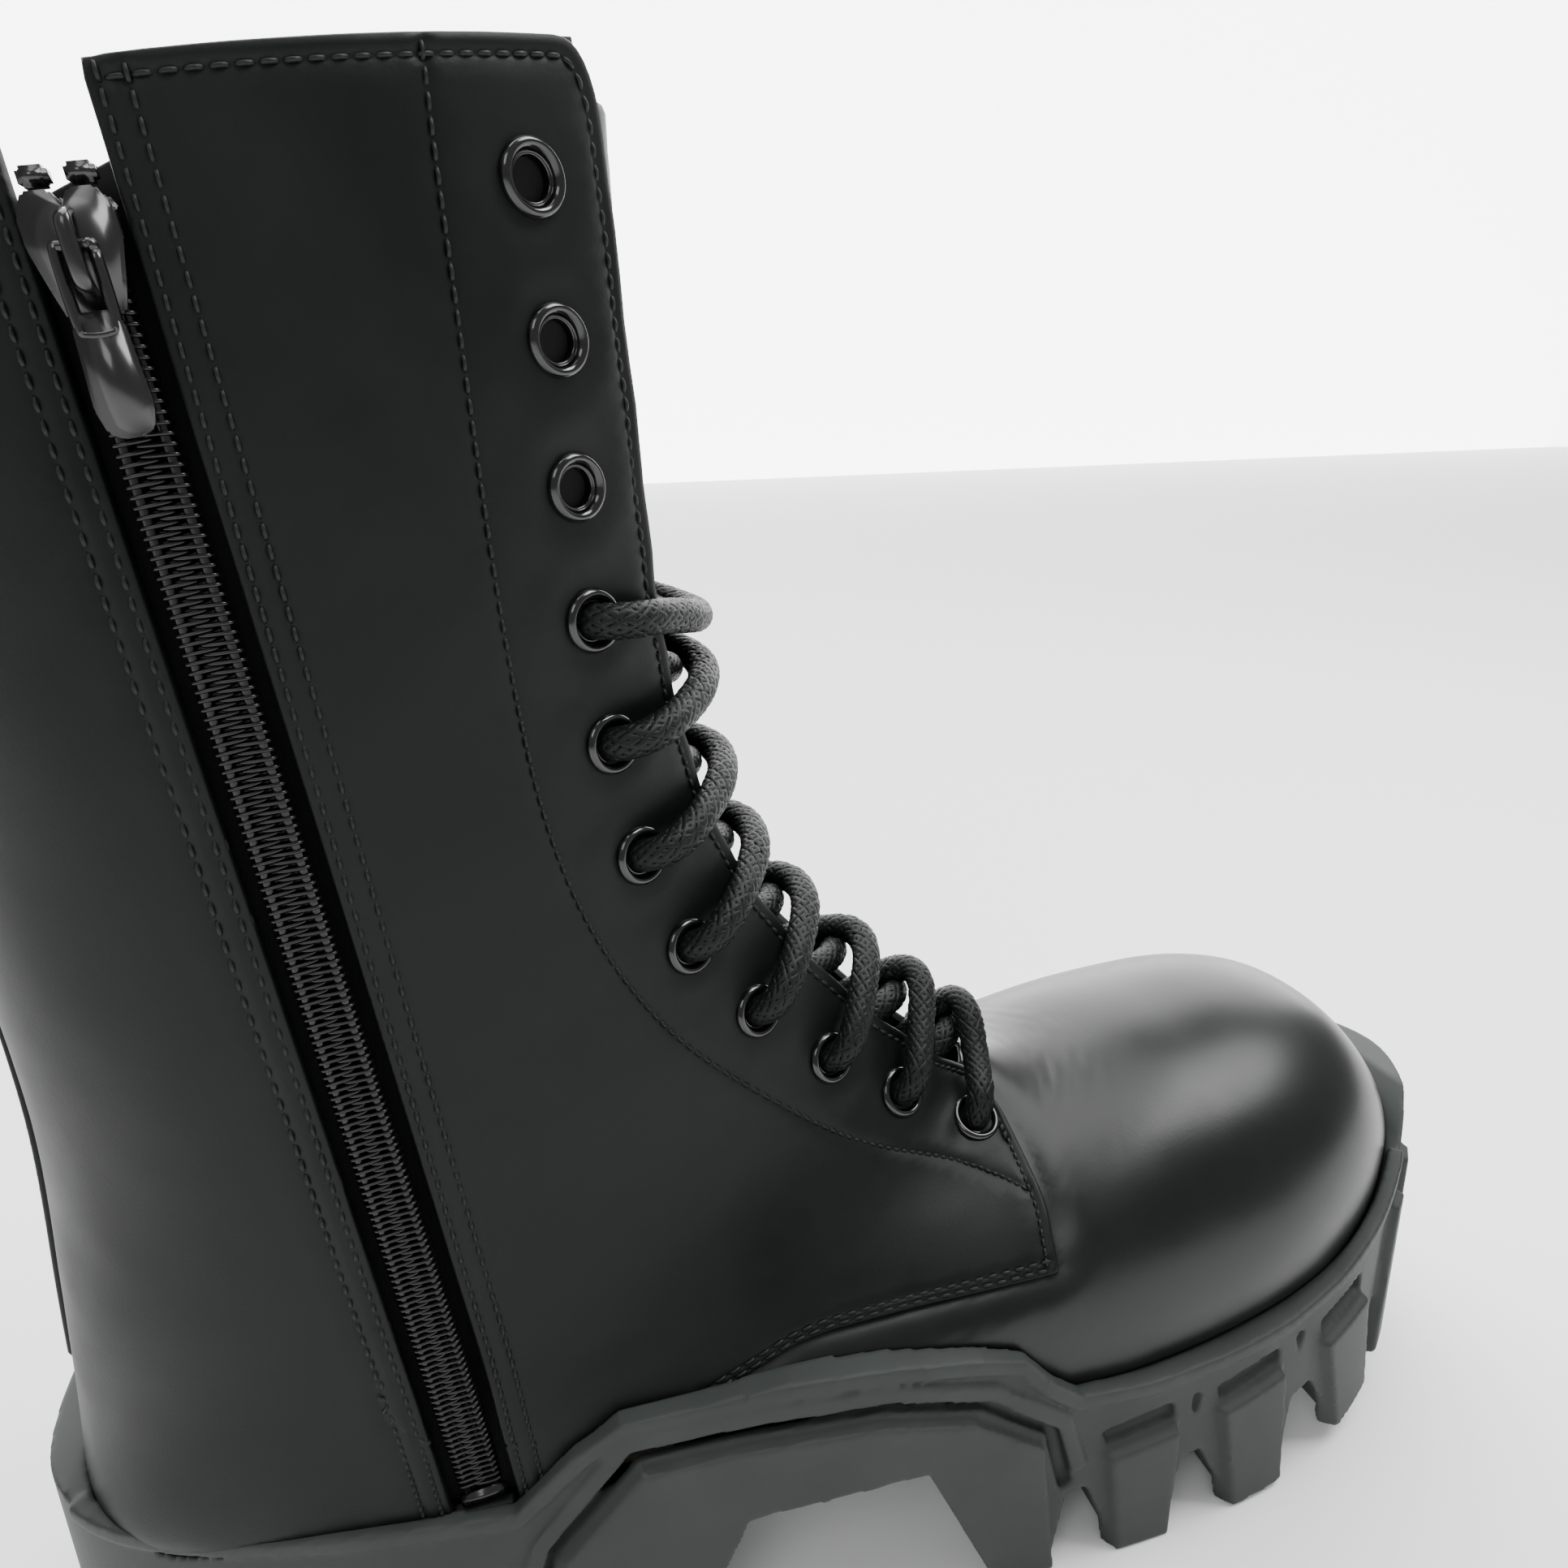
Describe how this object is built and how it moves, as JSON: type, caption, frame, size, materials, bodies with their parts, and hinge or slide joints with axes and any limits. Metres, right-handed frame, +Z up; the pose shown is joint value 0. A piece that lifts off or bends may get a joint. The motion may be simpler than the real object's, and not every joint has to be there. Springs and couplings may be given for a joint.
{
  "type": "lace-up combat boot",
  "caption": "Left ankle-high lace-up leather boot with a medial side zip, criss-cross laced eyelet facings and a chunky lugged rubber sole.",
  "frame": {"origin": "middle of the sole's outline, on the ground under the tread", "axes": "+X to the toe, +Y to the lateral (outer) side of this left boot, +Z up"},
  "size_m": [0.3202, 0.1152, 0.2886],
  "materials": {
    "black_leather": "smooth calf leather, semi-gloss, very fine grain",
    "toe_leather": "polished smooth leather, glossier than the shaft",
    "lining_leather": "matt lining leather",
    "sole_rubber": "matt moulded rubber",
    "stiffener_board": "stiff non-woven sheet",
    "insole_board": "pressed cellulose board",
    "footbed_foam": "foam faced with brushed lining",
    "cork_filler": "granulated cork",
    "heel_foam": "light closed-cell foam",
    "shank_steel": "plain spring steel",
    "black_lacquer": "glossy black lacquer over brass",
    "zip_nylon": "nylon coil, slight sheen",
    "zip_tape": "woven polyester tape",
    "zip_metal": "black enamelled zinc",
    "lace_braid": "round braided polyester",
    "aglet_plastic": "black film tip"
  },
  "bodies": {
    "boot": {"outsole": "sole_rubber", "heel_core": "heel_foam", "vamp": "toe_leather", "quarter_medial_front": "black_leather", "quarter_medial_rear": "black_leather", "quarter_lateral": "black_leather", "backstay": "black_leather", "toe_puff": "stiffener_board", "heel_counter": "stiffener_board", "facing_medial": "stiffener_board", "facing_lateral": "stiffener_board", "lining_vamp": "lining_leather", "lining_medial": "lining_leather", "lining_lateral": "lining_leather", "collar_facing": "black_leather", "tongue": "black_leather", "zip_underflap": "lining_leather", "insole_board": "insole_board", "footbed": "footbed_foam", "bottom_filler": "cork_filler", "eyelets_medial": "black_lacquer", "eyelets_lateral": "black_lacquer", "eyelet_washers_medial": "black_lacquer", "eyelet_washers_lateral": "black_lacquer", "zip_coil_front": "zip_nylon", "zip_coil_rear": "zip_nylon", "zip_tape_front": "zip_tape", "zip_tape_rear": "zip_tape", "zip_top_stops": "zip_metal", "zip_bottom_stop": "zip_metal", "zip_end_tab": "black_leather", "steel_shank": "shank_steel", "lace": "lace_braid", "lace_aglets": "aglet_plastic"},
    "slider": {"zip_slider": "zip_metal"},
    "pull": {"zip_pull": "zip_metal"}
  },
  "joints": [
    {"name": "zip_slide", "type": "slide", "parent": "boot", "child": "slider", "axis": [0.1194, 0, -0.9928], "range_m": [0, 0.184]},
    {"name": "zip_pull_hinge", "type": "hinge", "parent": "slider", "child": "pull", "pos_m": [-0.10222, -0.04895, 0.25552], "axis": [-0.9928, 0, -0.1194], "range_deg": [0, 170]}
  ]
}
